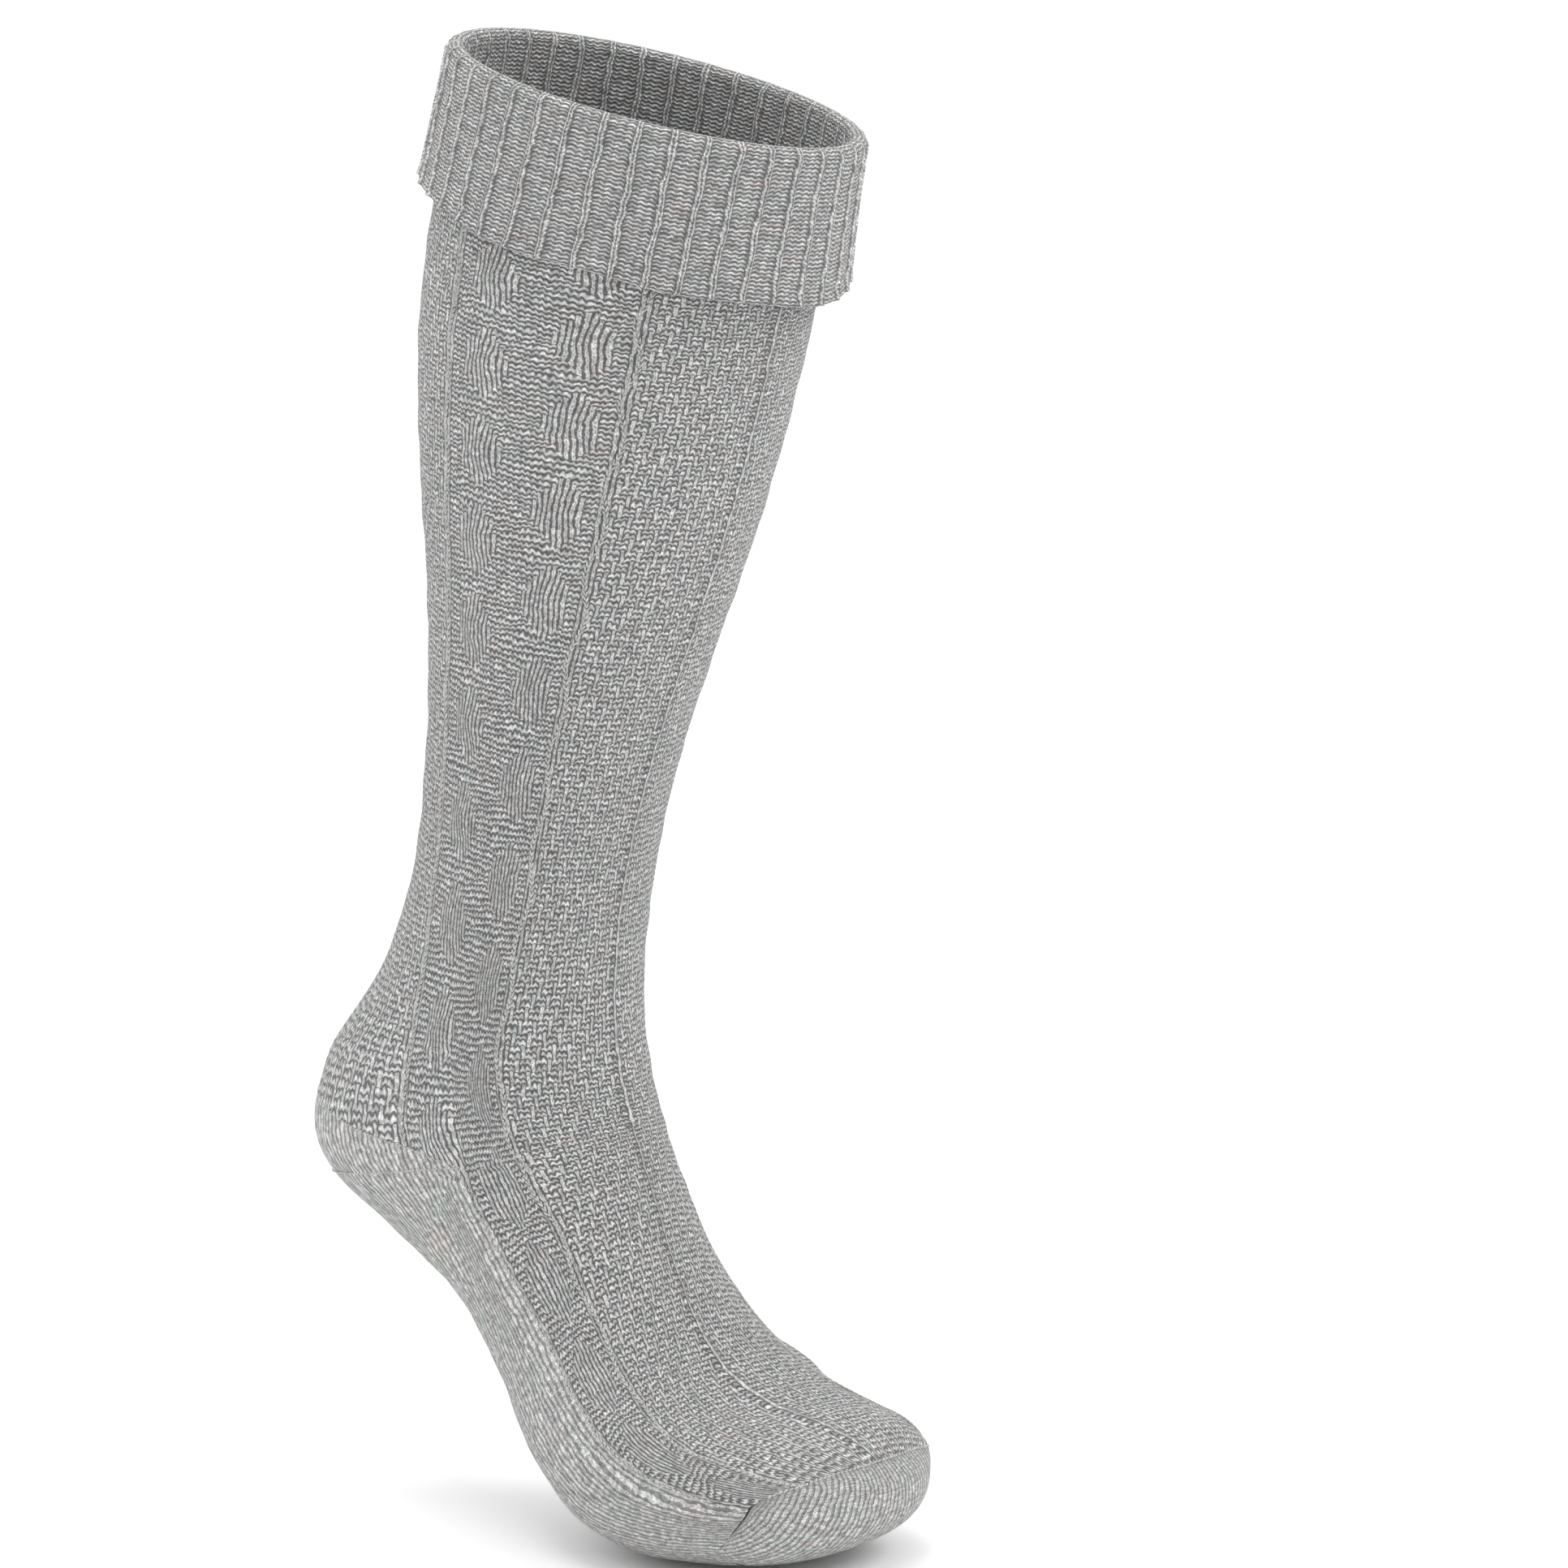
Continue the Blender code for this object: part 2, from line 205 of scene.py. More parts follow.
class SockForm:
    """The sock's smooth outer surface, by station along its middle and angle from the front."""

    def __init__(self) -> None:
        """Lay the sections on a spine that turns at the ankle and the ball."""
        calf = np.array([1, 1, CALF_RADIUS, CALF_RADIUS, CALF_RADIUS, 1])
        foot = np.array([1, 1, FOOT_RADIUS, FOOT_RADIUS, FOOT_RADIUS, 1])
        leg_rows = np.array(LEG_SECTIONS) * calf
        foot_rows = np.array(FOOT_SECTIONS) * foot
        leg_rows[:, 0] *= LEG_LENGTH
        foot_rows[:, 0] = LEG_LENGTH + foot_rows[:, 0] * FOOT_LENGTH
        self.rows = np.concatenate([leg_rows, foot_rows])
        self.knots = self.rows[:, 0].copy()
        self.end = LEG_LENGTH + FOOT_LENGTH
        self.stations = np.linspace(-0.01, self.end, 320)
        turn = np.radians(spline(self.stations, self.knots, self.rows[:, 1]))
        step = np.diff(self.stations)
        way_y = -np.sin(turn)
        way_z = -np.cos(turn)
        self.y = np.concatenate([[0], np.cumsum((way_y[1:] + way_y[:-1]) / 2 * step)])
        self.z = np.concatenate([[0], np.cumsum((way_z[1:] + way_z[:-1]) / 2 * step)])
        self.y -= np.interp(0, self.stations, self.y)
        self.z -= np.interp(0, self.stations, self.z)

    def point(self, station: np.ndarray, angle: np.ndarray) -> np.ndarray:
        """Surface points.

        Args:
            station: Metres from the rim along the sock.
            angle: Degrees from the front, positive toward +X.

        Returns:
            One point for each pair.
        """
        turned = np.radians(angle)
        values = [spline(station, self.knots, self.rows[:, k]) for k in range(1, 6)]
        turn, front, back, side, square = values
        turn = np.radians(turn)
        dome = np.clip((station - self.end + DOME_LENGTH) / DOME_LENGTH, 0, 0.9995)
        round_off = np.sqrt(1 - dome**2)
        cos, sin = np.cos(turned), np.sin(turned)
        power = 2.0 / square
        reach = np.where(cos >= 0, front, back) * round_off
        depth = reach * np.sign(cos) * np.abs(cos) ** power
        across = side * round_off * np.sign(sin) * np.abs(sin) ** power
        y = np.interp(station, self.stations, self.y) - depth * np.cos(turn)
        z = np.interp(station, self.stations, self.z) + depth * np.sin(turn)
        lean = RIM_LEAN * np.clip(1 - station / RIM_LEAN_LENGTH, 0, 1.1) ** 1.5
        z = z - lean * across
        return np.stack([across, y, z], -1)

    def normal(self, station: np.ndarray, angle: np.ndarray) -> np.ndarray:
        """Outward unit normals of the smooth surface.

        Args:
            station: Metres from the rim along the sock.
            angle: Degrees from the front.

        Returns:
            One normal for each pair.
        """
        along = self.point(station + 0.0004, angle) - self.point(station - 0.0004, angle)
        across = self.point(station, angle + 0.6) - self.point(station, angle - 0.6)
        way = np.cross(along, across)
        return way / np.linalg.norm(way, axis=-1, keepdims=True)

    def lifted(self, station: np.ndarray, angle: np.ndarray, lift: np.ndarray) -> np.ndarray:
        """Points at a height over the smooth surface.

        Args:
            station: Metres from the rim along the sock.
            angle: Degrees from the front.
            lift: Metres outward.

        Returns:
            One point for each triple.
        """
        return self.point(station, angle) + self.normal(station, angle) * lift[..., None]


FORM = SockForm()


def heel_edge(angle: np.ndarray, middle: float) -> np.ndarray:
    """Station of the heel's edge: its corner at the sides, `middle` behind.

    Args:
        angle: Degrees from the front.
        middle: Station of the edge at the back.

    Returns:
        One station for each angle.
    """
    turned = np.abs((angle + 180) % 360 - 180)
    share = np.clip((turned - HEEL_HALF_ANGLE) / (180 - HEEL_HALF_ANGLE), 0, 1)
    return HEEL_CORNER + (middle - HEEL_CORNER) * np.sin(np.pi / 2 * share) ** HEEL_CURVE


def toe_seam(angle: np.ndarray) -> np.ndarray:
    """Station of the toe's seam.

    Args:
        angle: Degrees from the front.

    Returns:
        One station for each angle.
    """
    turned = np.abs((angle + 180) % 360 - 180)
    share = np.clip(turned / TOE_SEAM_WRAP, 0, 1)
    return TOE_SEAM_TOP - (TOE_SEAM_TOP - TOE_SEAM_SIDE) * share**2


def course_at(station: np.ndarray) -> np.ndarray:
    """Courses from the first lozenge's middle to a station: they lengthen toward the toes.

    Args:
        station: Metres from the rim along the sock.

    Returns:
        Number of courses, not whole.
    """
    run = np.sqrt(LOZENGE_PITCH**2 + 4 * LOZENGE_STRETCH * (station - LOZENGE_START))
    return LOZENGE_COURSES * (run - LOZENGE_PITCH) / (2 * LOZENGE_STRETCH)


def station_of(course: np.ndarray) -> np.ndarray:
    """Station of a course, the other way round.

    Args:
        course: Courses from the first lozenge's middle.

    Returns:
        Metres along the middle from the rim.
    """
    turns = course / LOZENGE_COURSES
    return LOZENGE_START + LOZENGE_PITCH * turns + LOZENGE_STRETCH * turns**2


def lozenge_phase(station: np.ndarray) -> np.ndarray:
    """Turns of the lozenge repeat, whole at the front column's middles; the foot is half on."""
    half = np.pi * np.clip((station - HEEL_CORNER) / 0.004, 0, 1)
    return 2 * np.pi * course_at(station) / LOZENGE_COURSES + half


def swung(station: np.ndarray, plain: float, swings: tuple[Swing, ...]) -> np.ndarray:
    """Worn angle of a line between panels.

    Args:
        station: Metres from the rim along the sock.
        plain: Its angle where nothing swings it.
        swings: What swings it.

    Returns:
        Degrees from the front.
    """
    bells = [s.degrees * np.exp(-(((station - s.at) / s.reach) ** 2)) for s in swings]
    return plain + sum(bells)


def drift(station: np.ndarray, angle: np.ndarray) -> np.ndarray:
    """Turn plain panel angles into worn ones, by where the lines between panels lie.

    Args:
        station: Metres from the rim along the sock.
        angle: Plain degrees from the front.

    Returns:
        Degrees on the worn sock.
    """
    turned = (angle + 180) % 360 - 180
    side = np.abs(turned)
    front = swung(station, PANEL_EDGE, FRONT_SWINGS)
    sole = swung(station, HEEL_HALF_ANGLE, SOLE_SWINGS)
    back = swung(station, SIDE_EDGE, SIDE_SWINGS)
    steps = ((0.0, PANEL_EDGE, 0 * front, front),
             (PANEL_EDGE, HEEL_HALF_ANGLE, front, sole),
             (HEEL_HALF_ANGLE, SIDE_EDGE, sole, back),
             (SIDE_EDGE, 180.0, back, 180 + 0 * back))
    worn = 0 * side
    for low, high, worn_low, worn_high in steps:
        share = (side - low) / (high - low)
        worn = np.where((side >= low) & (side <= high), worn_low + share * (worn_high - worn_low), worn)
    return angle + np.sign(turned) * (worn - side)


def pattern_lift(station: np.ndarray, angle: np.ndarray) -> np.ndarray:
    """Low relief of the leg and instep: sunk lozenges, swelling ground and slight unevenness.

    Args:
        station: Metres from the rim along the sock.
        angle: Degrees from the front.

    Returns:
        Metres outward.
    """
    side = np.abs((angle + 180) % 360 - 180)
    front = np.exp(-(((side - NEAR_COLUMN) / 8.0) ** 2))
    back = np.exp(-(((side - FAR_COLUMN) / 7.5) ** 2))
    wave = np.cos(lozenge_phase(station))
    on_foot = np.clip((station - HEEL_CORNER) / 0.02, 0, 1)
    fade = np.clip((TOE_SEAM_SIDE - station) / 0.03, 0, 1)
    sink = front * wave * fade - back * wave * (1 - on_foot)
    uneven = 0.00025 * np.sin(station * 310 + angle * 0.09) * np.sin(angle * 0.21 + station * 95)
    return -0.0010 * sink + uneven


class Graph:
    """Short hand for building a material's nodes."""

    def __init__(self, material: bpy.types.Material) -> None:
        """Clear a material and keep its tree."""
        material.use_nodes = True
        self.tree = material.node_tree
        self.tree.nodes.clear()

    def node(self, kind: str, **values: object) -> bpy.types.Node:
        """Add a node.

        Args:
            kind: Blender's node type.
            values: Properties to set on it.

        Returns:
            The new node.
        """
        made = self.tree.nodes.new(kind)
        for name, value in values.items():
            setattr(made, name, value)
        return made

    def put(self, socket: bpy.types.NodeSocket, value: object) -> None:
        """Link or set a socket.

        Args:
            socket: The input.
            value: A socket to link from, or a plain value.
        """
        if isinstance(value, bpy.types.NodeSocket):
            self.tree.links.new(value, socket)
        else:
            socket.default_value = value

    def math(self, operation: str, a: object, b: object = 0.0, c: object = 0.0) -> bpy.types.NodeSocket:
        """Add a Math node.

        Args:
            operation: Blender's operation name.
            a: First input.
            b: Second input.
            c: Third input.

        Returns:
            Its output.
        """
        made = self.node("ShaderNodeMath", operation=operation)
        for socket, value in zip(made.inputs, (a, b, c)):
            self.put(socket, value)
        return made.outputs[0]

    def mix(self, share: object, a: object, b: object, blend: str = "MIX") -> bpy.types.NodeSocket:
        """Mix two colours.

        Args:
            share: Share of the second.
            a: First colour.
            b: Second colour.
            blend: How they mix.

        Returns:
            The mixed colour.
        """
        made = self.node("ShaderNodeMix", data_type="RGBA", blend_type=blend)
        self.put(made.inputs[0], share)
        self.put(made.inputs[6], a)
        self.put(made.inputs[7], b)
        return made.outputs[2]

    def attribute(self, name: str) -> bpy.types.NodeSocket:
        """Read a number that the mesh carries."""
        return self.node("ShaderNodeAttribute", attribute_name=name).outputs["Fac"]

    def noise(self, vector: object, scale: float, detail: float, roughness: float = 0.5,
              shift: float | None = None) -> bpy.types.NodeSocket:
        """Add a Noise Texture.

        Args:
            vector: Where it is read.
            scale: Its scale.
            detail: Its detail.
            roughness: Its roughness.
            shift: Place in the fourth dimension, where it has one.

        Returns:
            Its value.
        """
        made = self.node("ShaderNodeTexNoise", noise_dimensions="3D" if shift is None else "4D")
        self.put(made.inputs["Vector"], vector)
        self.put(made.inputs["Scale"], scale)
        self.put(made.inputs["Detail"], detail)
        self.put(made.inputs["Roughness"], roughness)
        if shift is not None:
            self.put(made.inputs["W"], shift)
        return made.outputs[0]

    def bump(self, strength: float, distance: float, height: object) -> bpy.types.NodeSocket:
        """Add a Bump node.

        Args:
            strength: Its strength.
            distance: Metres for a height of 1.
            height: The height.

        Returns:
            The bent normal.
        """
        made = self.node("ShaderNodeBump")
        self.put(made.inputs["Strength"], strength)
        self.put(made.inputs["Distance"], distance)
        self.put(made.inputs["Height"], height)
        return made.outputs[0]

    def surface(self, colour: object, roughness: float, **values: object) -> None:
        """Add the Principled shader and the output.

        Args:
            colour: Base colour.
            roughness: Its roughness.
            values: Other inputs, with an underscore for each space.
        """
        made = self.node("ShaderNodeBsdfPrincipled")
        self.put(made.inputs["Base Color"], colour)
        self.put(made.inputs["Roughness"], roughness)
        for name, value in values.items():
            self.put(made.inputs[name.replace("_", " ")], value)
        self.put(self.node("ShaderNodeOutputMaterial").inputs[0], made.outputs[0])

    def ramp(self, value: object, low: float, high: float) -> bpy.types.NodeSocket:
        """Smooth 0 to 1 between two limits.

        Args:
            value: What is read.
            low: Where it is 0.
            high: Where it is 1.

        Returns:
            The smoothed share.
        """
        made = self.node("ShaderNodeMapRange", interpolation_type="SMOOTHSTEP", clamp=True)
        self.put(made.inputs[0], value)
        self.put(made.inputs[1], low)
        self.put(made.inputs[2], high)
        return made.outputs[0]


@dataclass(frozen=True)
class WoolFinish:
    """Heathered wool yarn knitted in smooth and bumpy stitches, with painted shade between its strands.
    """

    name: str
    light: tuple[float, float, float] = (0.84, 0.84, 0.83)
    # dark: painted shade colour for the low parts between strands; also the colour of the dark fibre
    # flecks.
    dark: tuple[float, float, float] = (0.028, 0.028, 0.030)
    green: tuple[float, float, float] = (0.60, 0.70, 0.64)
    rosy: tuple[float, float, float] = (0.70, 0.60, 0.56)
    bump: float = 0.0014
    # gap_shade: share of the colour that the painted shade between strands takes away.
    gap_shade: float = 0.84
    strand_off: float = 0.09
    strand_lean: float = 0.10
    strand_half: float = 0.24
    unrest: float = 0.55

    def smooth_stitch(self, g: Graph, u: object, v: object) -> bpy.types.NodeSocket:
        """Height of a smooth stitch: two slanted strands that open upward, with a low middle that the
        wool paints in shade.

        Args:
            g: The material's graph.
            u: Share across the stitch.
            v: Share up the stitch.

        Returns:
            Height, 0 to 1.
        """
        off = g.math("ABSOLUTE", g.math("SUBTRACT", u, 0.5))
        line = g.math("MULTIPLY_ADD", v, self.strand_lean, self.strand_off)
        d = g.math("DIVIDE", g.math("SUBTRACT", off, line), self.strand_half)
        strand = g.math("MAXIMUM", g.math("SUBTRACT", 1.0, g.math("MULTIPLY", d, d)), 0.0)
        beat = g.math("COSINE", g.math("MULTIPLY", g.math("SUBTRACT", v, 0.45), 2 * math.pi))
        return g.math("MULTIPLY", strand, g.math("MULTIPLY_ADD", beat, 0.14, 0.86))

    def bumpy_stitch(self, g: Graph, u: object, v: object) -> bpy.types.NodeSocket:
        """Height of a bumpy stitch: a wavy strand across the wales over holes that the wool paints in
        shade.

        Args:
            g: The material's graph.
            u: Place across the skin in stitches.
            v: Place down the skin in courses.

        Returns:
            Height, 0 to 1.
        """
        turn = g.math("COSINE", g.math("MULTIPLY", u, 2 * math.pi))
        d = g.math("SUBTRACT", g.math("FRACT", g.math("MULTIPLY_ADD", turn, 0.15, v)), 0.5)
        d = g.math("DIVIDE", d, 0.42)
        strand = g.math("MAXIMUM", g.math("SUBTRACT", 1.0, g.math("MULTIPLY", d, d)), 0.0)
        return g.math("MULTIPLY", strand, g.math("MULTIPLY_ADD", turn, -0.26, 0.74))

    def sway(self, g: Graph, place: object, scale: float, shift: float) -> bpy.types.NodeSocket:
        """How far hand tension pulls a stitch from its place.

        Args:
            g: The material's graph.
            place: Object coordinates.
            scale: Scale of the unevenness.
            shift: Place in the fourth dimension, to tell directions apart.

        Returns:
            Stitches to one side.
        """
        noise = g.noise(place, scale, 2.0, shift=shift)
        return g.math("MULTIPLY", g.math("SUBTRACT", noise, 0.5), self.unrest * 2)

    def material(self) -> bpy.types.Material:
        """Build the wool's material.

        Returns:
            The material.
        """
        made = bpy.data.materials.new(self.name)
        g = Graph(made)
        uv = g.node("ShaderNodeUVMap", uv_map="Stitches").outputs[0]
        parts = g.node("ShaderNodeSeparateXYZ")
        g.put(parts.inputs[0], uv)
        place = g.node("ShaderNodeTexCoord").outputs["Object"]
        u = g.math("ADD", parts.outputs[0], self.sway(g, place, 260.0, 0.0))
        v = g.math("ADD", parts.outputs[1], self.sway(g, place, 230.0, 3.0))
        smooth = self.smooth_stitch(g, g.math("FRACT", u), g.math("FRACT", v))
        bumpy = self.bumpy_stitch(g, u, v)
        knit = g.attribute("smooth")
        height = g.math("ADD", g.math("MULTIPLY", smooth, knit),
                        g.math("MULTIPLY", bumpy, g.math("SUBTRACT", 1.0, knit)))
        hairs = g.noise(place, 1500.0, 3.0, 0.7)
        stretch = g.node("ShaderNodeCombineXYZ")
        g.put(stretch.inputs[0], g.math("MULTIPLY", u, 0.55))
        g.put(stretch.inputs[1], v)
        fleck = g.noise(stretch.outputs[0], 1.3, 3.0)
        tint = g.noise(stretch.outputs[0], 0.33, 2.0)
        dim = (*(c * 0.58 for c in self.light), 1.0)
        bright = (*(min(1.0, c * 1.12) for c in self.light), 1.0)
        yarn = g.mix(g.ramp(fleck, 0.34, 0.66), dim, bright)
        washes = ((tint, 0.56, 0.70, 0.45, self.green), (tint, 0.44, 0.30, 0.40, self.rosy),
                  (hairs, 0.58, 0.36, 0.35, self.dark))
        for source, low, high, share, colour in washes:
            yarn = g.mix(g.math("MULTIPLY", g.ramp(source, low, high), share), yarn, (*colour, 1.0))
        tone = g.math("MULTIPLY_ADD", g.attribute("tone"), 0.16, 1.0)
        # Painted shade: low parts of each stitch, between strands and in its holes, are mixed toward
        # the dark colour. The random tone and the painted shade of the hollow mark scale this too.
        lit = g.math("MULTIPLY", g.ramp(height, 0.10, 0.78), self.gap_shade)
        lit = g.math("ADD", lit, 1.0 - self.gap_shade)
        lit = g.math("MULTIPLY", g.math("MULTIPLY", lit, tone),
                     g.math("SUBTRACT", 1.0, g.attribute("hollow")))
        normal = g.bump(0.9, self.bump, g.math("ADD", height, g.math("MULTIPLY", hairs, 0.35)))
        g.surface(g.mix(lit, (*self.dark, 1.0), yarn), 0.95, Specular_IOR_Level=0.15,
                  Sheen_Weight=0.25, Sheen_Roughness=0.5, Normal=normal)
        return made


@dataclass(frozen=True)
class YarnFinish:
    """One plain strand of the same yarn, for seams and borders."""

    name: str
    colour: tuple[float, float, float] = (0.52, 0.52, 0.51)

    def material(self) -> bpy.types.Material:
        """Build the strand's material.

        Returns:
            The material.
        """
        made = bpy.data.materials.new(self.name)
        g = Graph(made)
        place = g.node("ShaderNodeTexCoord").outputs["Object"]
        hairs = g.noise(place, 1100.0, 3.0)
        shade = (*(c * 0.62 for c in self.colour), 1.0)
        colour = g.mix(g.ramp(hairs, 0.35, 0.65), shade, (*self.colour, 1.0))
        g.surface(colour, 0.95, Specular_IOR_Level=0.15, Sheen_Weight=0.25,
                  Normal=g.bump(0.7, 0.0004, hairs))
        return made


@dataclass(frozen=True)
class FloorFinish:
    """Matt pale studio floor."""

    name: str = "pale_floor"
    colour: tuple[float, float, float] = (0.95, 0.95, 0.95)

    def material(self) -> bpy.types.Material:
        """Build the floor's material.

        Returns:
            The material.
        """
        made = bpy.data.materials.new(self.name)
        Graph(made).surface((*self.colour, 1.0), 0.9)
        return made


def chart_smooth(knit: Knit, courses: np.ndarray, wales: int, foot: bool) -> np.ndarray:
    """Which stitches show their smooth side.

    Args:
        knit: The pattern.
        courses: Numbers of the courses, counted from the first lozenge's middle.
        wales: Number of wales.
        foot: Whether this is the foot, whose one column is half a repeat on.

    Returns:
        1 for smooth and 0 for bumpy, course by course.
    """
    rows = courses[:, None]
    columns = np.arange(wales)[None, :]
    if knit is Knit.LOZENGE:
        widths = np.array(LOZENGE_WIDTHS)
        half = LOZENGE_COURSES // 2
        if foot:
            middle = np.abs(columns + 0.5 - wales * 0.5) * 2
            return (middle < widths[(rows + half) % LOZENGE_COURSES]).astype(float)
        near = np.abs(columns + 0.5 - wales * NEAR_SHARE) * 2
        far = np.abs(columns + 0.5 - wales * FAR_SHARE) * 2
        first = near < widths[rows % LOZENGE_COURSES]
        second = far < widths[(rows + half) % LOZENGE_COURSES]
        return (first | second).astype(float)
    chart = {Knit.MOSS: MOSS_CHART, Knit.RIB: RIB_CHART, Knit.PLAIN: PLAIN_CHART}[knit]
    smooth = np.array([[mark == "|" for mark in line] for line in chart], float)
    return smooth[rows % len(chart), columns % len(chart[0])]


def grid_object(name: str, points: np.ndarray, uv: np.ndarray, marks: dict[str, np.ndarray],
                around: bool = False, keep: np.ndarray | None = None) -> bpy.types.Object:
    """Make a grid mesh with its stitch map and marks.

    Args:
        name: Object name.
        points: Rows by columns of points.
        uv: Rows by columns of stitch places, one more column than points where it closes.
        marks: Numbers for each face, by name.
        around: Whether the last column joins the first.
        keep: Which faces are kept, all where it is missing.

    Returns:
        The new object.
    """
    rows, columns = points.shape[:2]
    last = columns if around else columns - 1
    if keep is None:
        keep = np.ones((rows - 1, last), bool)
    i, j = np.nonzero(keep)
    k = (j + 1) % columns
    faces = np.stack([i * columns + j, (i + 1) * columns + j, (i + 1) * columns + k,
                      i * columns + k], -1)
    mesh = bpy.data.meshes.new(name)
    mesh.from_pydata(points.reshape(-1, 3).tolist(), [], faces.tolist())
    corner = np.stack([uv[i, j], uv[i + 1, j], uv[i + 1, j + 1], uv[i, j + 1]], 1)
    layer = mesh.uv_layers.new(name="Stitches")
    layer.data.foreach_set("uv", corner.reshape(-1).astype(np.float32))
    for label, values in marks.items():
        made = mesh.attributes.new(label, "FLOAT", "FACE")
        made.data.foreach_set("value", values[keep].astype(np.float32))
    mesh.polygons.foreach_set("use_smooth", np.ones(len(faces), bool))
    mesh.update()
    work = bmesh.new()
    work.from_mesh(mesh)
    bmesh.ops.remove_doubles(work, verts=work.verts, dist=0.00001)
    bmesh.ops.delete(work, geom=[v for v in work.verts if not v.link_faces], context="VERTS")
    work.to_mesh(mesh)
    work.free()
    obj = bpy.data.objects.new(name, mesh)
    bpy.context.scene.collection.objects.link(obj)
    return obj


def dress(obj: bpy.types.Object, node: str, wool: bpy.types.Material, stands_in: bool) -> None:
    """Give a knitted piece its wool and its place on the sock.

    Args:
        obj: The piece.
        node: The node that it belongs to.
        wool: Its material.
        stands_in: Whether it is shown in place of that node.
    """
    obj.data.materials.append(wool)
    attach(obj, "root")
    if stands_in:
        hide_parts(node)


@dataclass
class KnitSkin:
    """A knitted skin between two angles and two edges of the sock."""

    name: str
    node: str
    knit: Knit
    start: float
    end: float
    wales: int
    top: Callable[[np.ndarray], np.ndarray]
    bottom: Callable[[np.ndarray], np.ndarray]
    split: int = 2
    seed: int = 1
    centre_line: bool = False

    def even_angles(self, share: np.ndarray) -> np.ndarray:
        """Angles that set the wales evenly across the skin at its middle.

        Args:
            share: Shares of the skin's width.

        Returns:
            One angle for each share.
        """
        fine = np.linspace(self.start, self.end, 721)
        middle = 0.5 * (self.top(fine).mean() + self.bottom(fine).mean())
        station = middle + 0 * fine
        points = FORM.point(station, drift(station, fine))
        run = np.append(0, np.cumsum(np.linalg.norm(np.diff(points, axis=0), axis=1)))
        return np.interp(share * run[-1], run, fine)

    def warp(self, station: np.ndarray, angle: np.ndarray) -> tuple[np.ndarray, np.ndarray]:
        """Bow the wales round the lozenges.

        Args:
            station: Plain stations of the grid.
            angle: Plain angles of the grid.

        Returns:
            Warped stations and angles.
        """
        if self.knit is not Knit.LOZENGE:
            return station, angle
        side = np.abs(angle)
        sign = np.sign(angle)
        wave = np.cos(lozenge_phase(station))
        rise = np.sin(lozenge_phase(station))
        span = self.end - self.start
        hold = np.clip(np.minimum(angle - self.start, self.end - angle) / (span * 0.12), 0, 1)
        near, far = side - NEAR_COLUMN, side - FAR_COLUMN
        front = near * np.exp(-((near / 9.5) ** 2))
        back = far * np.exp(-((far / 9.0) ** 2))
        slide = 0.20 * hold * (front * wave - back * wave)
        column = np.exp(-((near / 8) ** 2)) - np.exp(-((far / 8) ** 2))
        drop = 0.0011 * hold * column * rise
        top, bottom = self.top(angle), self.bottom(angle)
        hold_rows = np.clip(np.minimum(station - top, bottom - station) / 0.012, 0, 1)
        return station + drop * hold_rows, angle + sign * slide * hold_rows

    def build(self) -> bpy.types.Object:
        """Build the skin's mesh.

        Returns:
            The skin.
        """
        columns = np.linspace(0, self.wales, self.wales * self.split + 1)
        angles = self.even_angles(columns / self.wales)
        top, bottom = self.top(angles)[None, :], self.bottom(angles)[None, :]
        first = math.floor(course_at(top.min()))
        courses = math.ceil(course_at(bottom.max())) - first
        course = first + np.arange(courses + 1.0)[:, None]
        station = np.clip(station_of(course), top, bottom)
        inside = (station[1:] - station[:-1]) > 0.00002
        keep = inside[:, 1:] | inside[:, :-1]
        angle = np.broadcast_to(angles, station.shape)
        lift = pattern_lift(station, angle)
        smooth = chart_smooth(self.knit, first + np.arange(courses), self.wales,
                              self.node == "foot")
        # hollow: painted shade where the knit lies low: the sunk lozenges and the edge wales beside the
        # borders.
        hollow = np.zeros_like(smooth)
        if self.knit is Knit.LOZENGE:
            hollow = LOZENGE_SHADE * smooth
        if self.knit is not Knit.PLAIN:
            hollow[:, [0, -1]] = EDGE_SHADE
            smooth[:, [0, -1]] = 1
        if self.centre_line:
            middle = self.wales // 2
            smooth[:, middle] = 1
            smooth[:, [middle - 1, middle + 1]] = 0
            # Painted shade in the holes beside the centre line, every other course.
            hollow[::2, [middle - 1, middle + 1]] = 0.45
            lift = lift + 0.0005 * np.exp(-(((columns - middle - 0.5) / 0.9) ** 2))[None, :]
        v = -course_at(station)
        station, angle = self.warp(station, angle)
        wobble = np.sin(station * 700 + angle * 0.35) + np.sin(angle * 0.9 - station * 430)
        inner = np.clip((station - self.top(angle)) / 0.01, 0, 1) * np.clip(
            (self.bottom(angle) - station) / 0.01, 0, 1)
        station = station + STITCH_WOBBLE * wobble * inner
        points = FORM.lifted(station, drift(station, angle), lift)
        u = np.broadcast_to(columns, station.shape)
        tone = np.random.default_rng(self.seed).uniform(-1, 1, smooth.shape)
        marks = {"smooth": smooth, "tone": tone, "hollow": hollow}
        marks = {k: np.repeat(m, self.split, axis=1) for k, m in marks.items()}
        return grid_object(self.name, points, np.stack([u, v], -1), marks, keep=keep)


